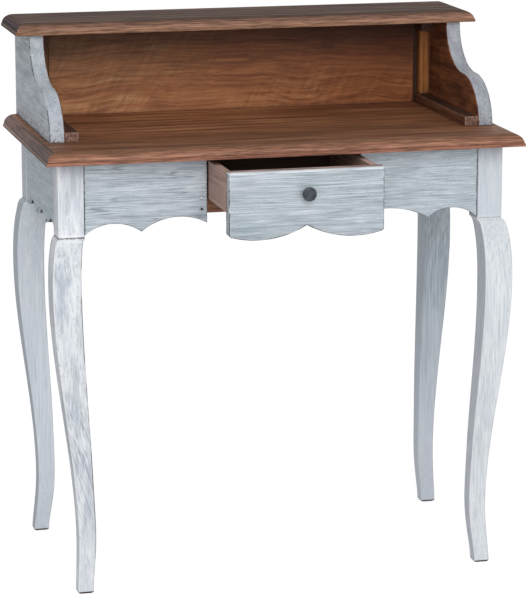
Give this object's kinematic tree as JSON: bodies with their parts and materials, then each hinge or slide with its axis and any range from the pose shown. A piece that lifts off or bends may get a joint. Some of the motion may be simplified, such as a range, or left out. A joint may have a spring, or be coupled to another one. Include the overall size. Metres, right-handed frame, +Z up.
{
  "type": "bonheur du jour",
  "caption": "Small writing desk with painted cabriole legs, scalloped aprons, a sliding drawer with a round knob, and a stained top that carries a low gallery with a shelf.",
  "frame": {"origin": "on the floor, under the middle of the whole desk as stored, from the face of the knob to the rear edge of the desk top", "axes": "+Z up, +X to the right of someone facing the drawer, +Y from the drawer front to the back"},
  "size_m": [0.85, 0.573, 0.967],
  "materials": {
    "top_wood": "brown stain and thin wax, satin",
    "shelf_wood": "brown stain and thin wax, satin",
    "panel_wood": "red-brown stain, curly figure, satin",
    "batten_wood": "orange-brown stain, matt",
    "cleat_wood": "dark brown stain, matt",
    "gallery_paint": "pale blue-grey whitewash, brushed thin and rubbed through at the edges; inner faces stained brown",
    "leg_paint": "pale blue-grey whitewash, brushed thin and rubbed through at the edges",
    "front_paint": "pale blue-grey whitewash, brushed thin and rubbed through at the edges",
    "side_paint": "pale blue-grey whitewash, brushed thin and rubbed through at the edges",
    "drawer_front_paint": "pale blue-grey whitewash, brushed thin and rubbed through at the edges",
    "drawer_wood": "bare planed wood, matt",
    "frame_wood": "bare sawn wood, matt",
    "iron": "dark grey iron, dull",
    "steel": "plain steel"
  },
  "bodies": {
    "carcass": {"desk_top": "top_wood", "top_shelf": "shelf_wood", "gallery_back_panel": "panel_wood", "gallery_batten_left": "batten_wood", "gallery_batten_right": "batten_wood", "base_cleat_left": "cleat_wood", "base_cleat_right": "cleat_wood", "shelf_cleat_left": "cleat_wood", "shelf_cleat_right": "cleat_wood", "gallery_side_left": "gallery_paint", "gallery_side_right": "gallery_paint", "leg_front_left": "leg_paint", "leg_front_right": "leg_paint", "leg_rear_left": "leg_paint", "leg_rear_right": "leg_paint", "front_apron_left": "front_paint", "front_apron_right": "front_paint", "rear_apron": "front_paint", "side_apron_left": "side_paint", "side_apron_right": "side_paint", "drawer_guide_left": "frame_wood", "drawer_guide_right": "frame_wood", "bearer_rail": "frame_wood", "drawer_runner_left": "frame_wood", "drawer_runner_right": "frame_wood", "top_block_front_left": "frame_wood", "top_block_rear_left": "frame_wood", "top_block_front_right": "frame_wood", "top_block_rear_right": "frame_wood", "top_screws": "steel", "gallery_screws": "steel", "shelf_screws": "steel", "apron_nails": "steel"},
    "drawer": {"drawer_front": "drawer_front_paint", "drawer_side_left": "drawer_wood", "drawer_side_right": "drawer_wood", "drawer_back": "drawer_wood", "drawer_bottom": "drawer_wood", "drawer_knob": "iron", "knob_screw": "steel"}
  },
  "joints": [
    {"name": "drawer_slide", "type": "slide", "parent": "carcass", "child": "drawer", "axis": [0, -1, 0], "range_m": [-0.153, 0.1]}
  ]
}
